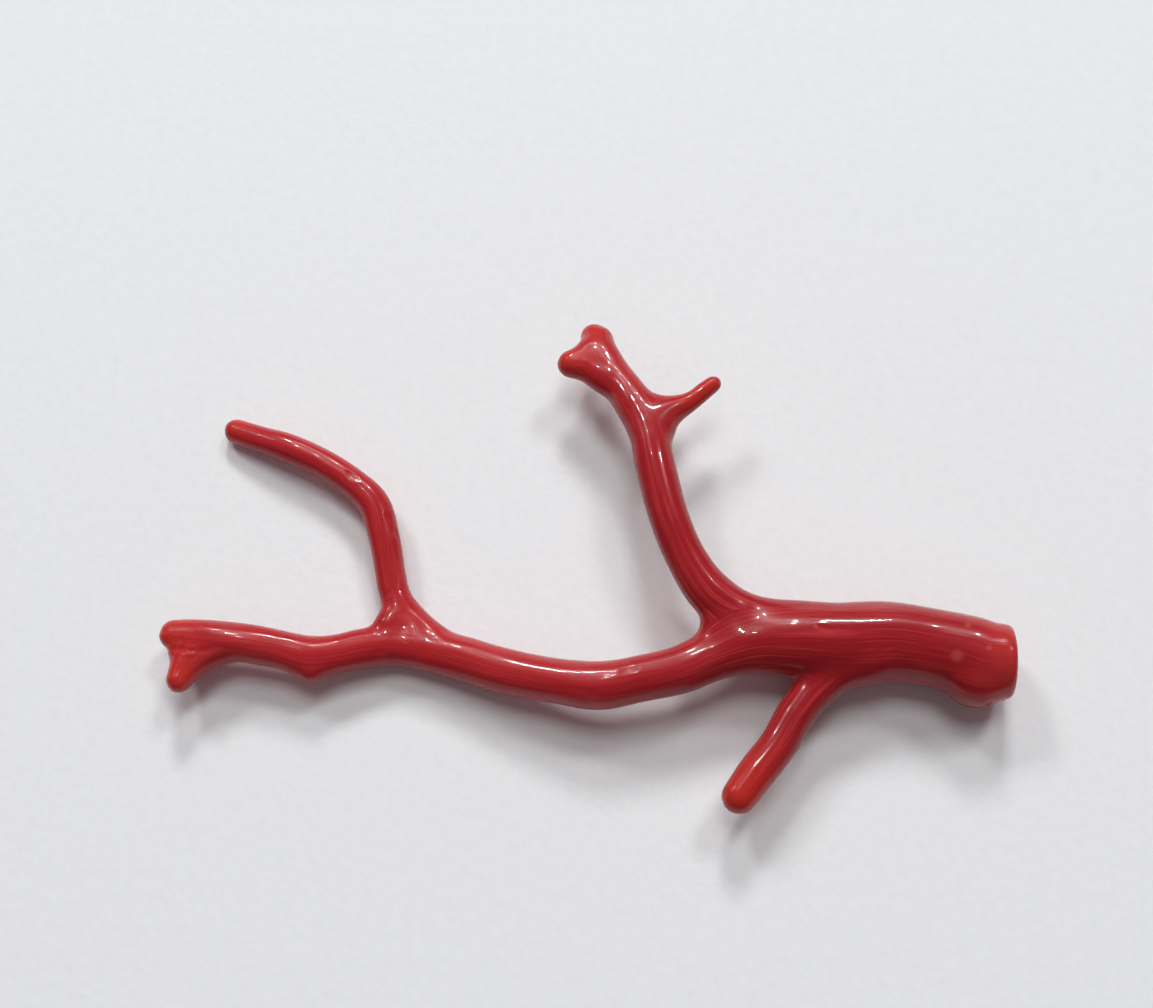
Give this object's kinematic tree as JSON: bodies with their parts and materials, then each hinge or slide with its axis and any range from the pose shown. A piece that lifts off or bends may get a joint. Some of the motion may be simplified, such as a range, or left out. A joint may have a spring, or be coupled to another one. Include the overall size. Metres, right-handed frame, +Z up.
{
  "type": "coral branch",
  "caption": "Polished branch of precious coral, sawn off flat at the thick end, forking into slender curved branches with rounded and lobed tips; it lies on a surface.",
  "frame": {"origin": "on the surface that the branch lies on, below the middle of its outline seen from above", "axes": "+X along the branch to its sawn thick end, +Y across it towards the tip of the tall branch, +Z up from the surface that it lies on"},
  "size_m": [0.0844, 0.0497, 0.0096],
  "materials": {
    "trunk_coral": "high polish over deep red coral with fine lengthwise streaks",
    "branch_coral": "high polish over red coral with fine lengthwise streaks",
    "slender_coral": "high polish over lighter red coral",
    "twig_coral": "high polish over orange-red coral"
  },
  "bodies": {
    "root": {"trunk": "trunk_coral", "long_stem": "branch_coral", "tall_branch": "branch_coral", "lobed_branch": "branch_coral", "curved_branch": "slender_coral", "spur": "slender_coral", "twig": "twig_coral"}
  },
  "joints": []
}
